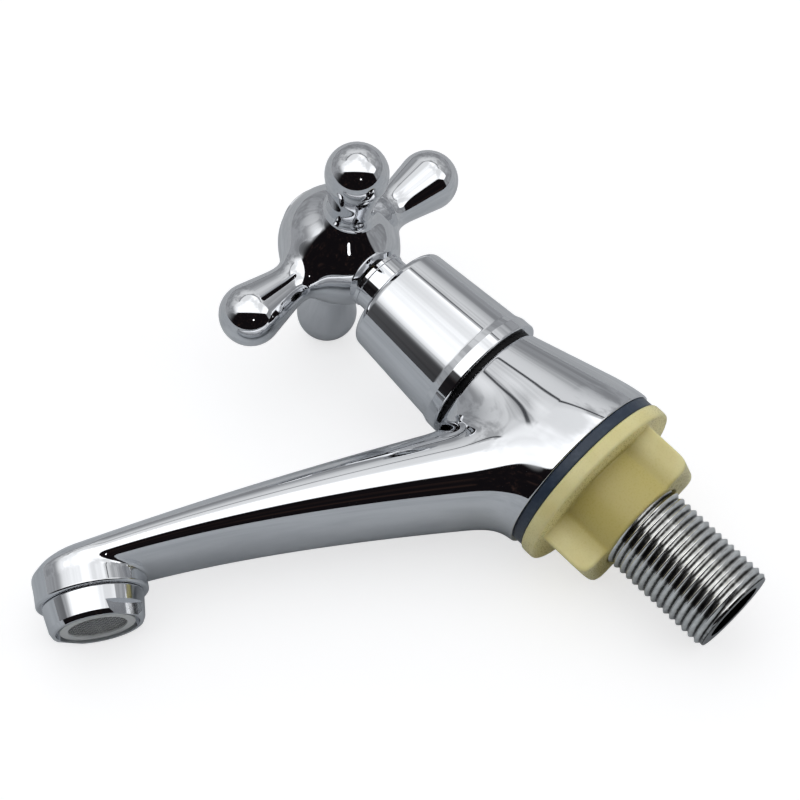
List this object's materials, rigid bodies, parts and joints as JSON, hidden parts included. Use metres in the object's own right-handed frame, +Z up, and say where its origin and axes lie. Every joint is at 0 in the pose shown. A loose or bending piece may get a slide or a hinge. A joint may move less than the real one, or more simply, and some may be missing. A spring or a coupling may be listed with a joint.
{
  "type": "basin pillar tap",
  "caption": "Chromed deck-mounted basin tap for cold water: conical body, rising spout with aerator, cross handle, threaded tail and back nut.",
  "frame": {"origin": "centre of the base washer's underside, where the shank enters the tap hole", "axes": "+Z up the shank and the spindle, the spout reaches out along -Y, +X to the right seen from behind the tap"},
  "size_m": [0.0696, 0.1424, 0.1359],
  "materials": {
    "chrome": "bright plated",
    "dull_nickel": "dull plated thread",
    "navy_rubber": "satin",
    "black_rubber": "satin",
    "ivory_plastic": "moulded, slightly translucent look",
    "ceramic": "lapped",
    "brass": "machined",
    "slip_plastic": "smooth",
    "steel": "plain",
    "grey_plastic": "moulded",
    "blue_plastic": "moulded"
  },
  "bodies": {
    "tap": {"spout_body": "chrome", "threaded_shank": "dull_nickel", "shank_seal": "black_rubber", "base_washer": "navy_rubber", "seat_seal": "black_rubber", "fixed_disc": "ceramic", "headwork_body": "brass", "headwork_seal": "black_rubber", "thrust_washer": "slip_plastic", "gap_ring": "black_rubber", "sleeve": "chrome", "guide_ring": "black_rubber", "aerator_shell": "chrome", "aerator_seal": "black_rubber", "aerator_cage": "grey_plastic", "flow_diffuser": "grey_plastic", "aerator_mesh": "steel"},
    "handle": {"handle": "chrome", "handle_screw": "steel", "index_cap": "chrome", "index_dot": "blue_plastic", "spindle": "brass", "spindle_o_rings": "black_rubber", "spindle_clip": "steel", "moving_disc": "ceramic"},
    "nut": {"back_nut": "ivory_plastic"}
  },
  "joints": [
    {"name": "handle_turn", "type": "hinge", "parent": "tap", "child": "handle", "pos_m": [0, 0, 0.0775], "axis": [0, 0, 1], "range_deg": [0, 90]},
    {"name": "nut_travel", "type": "slide", "parent": "tap", "child": "nut", "axis": [0, 0, -1], "range_m": [0, 0.022]}
  ]
}
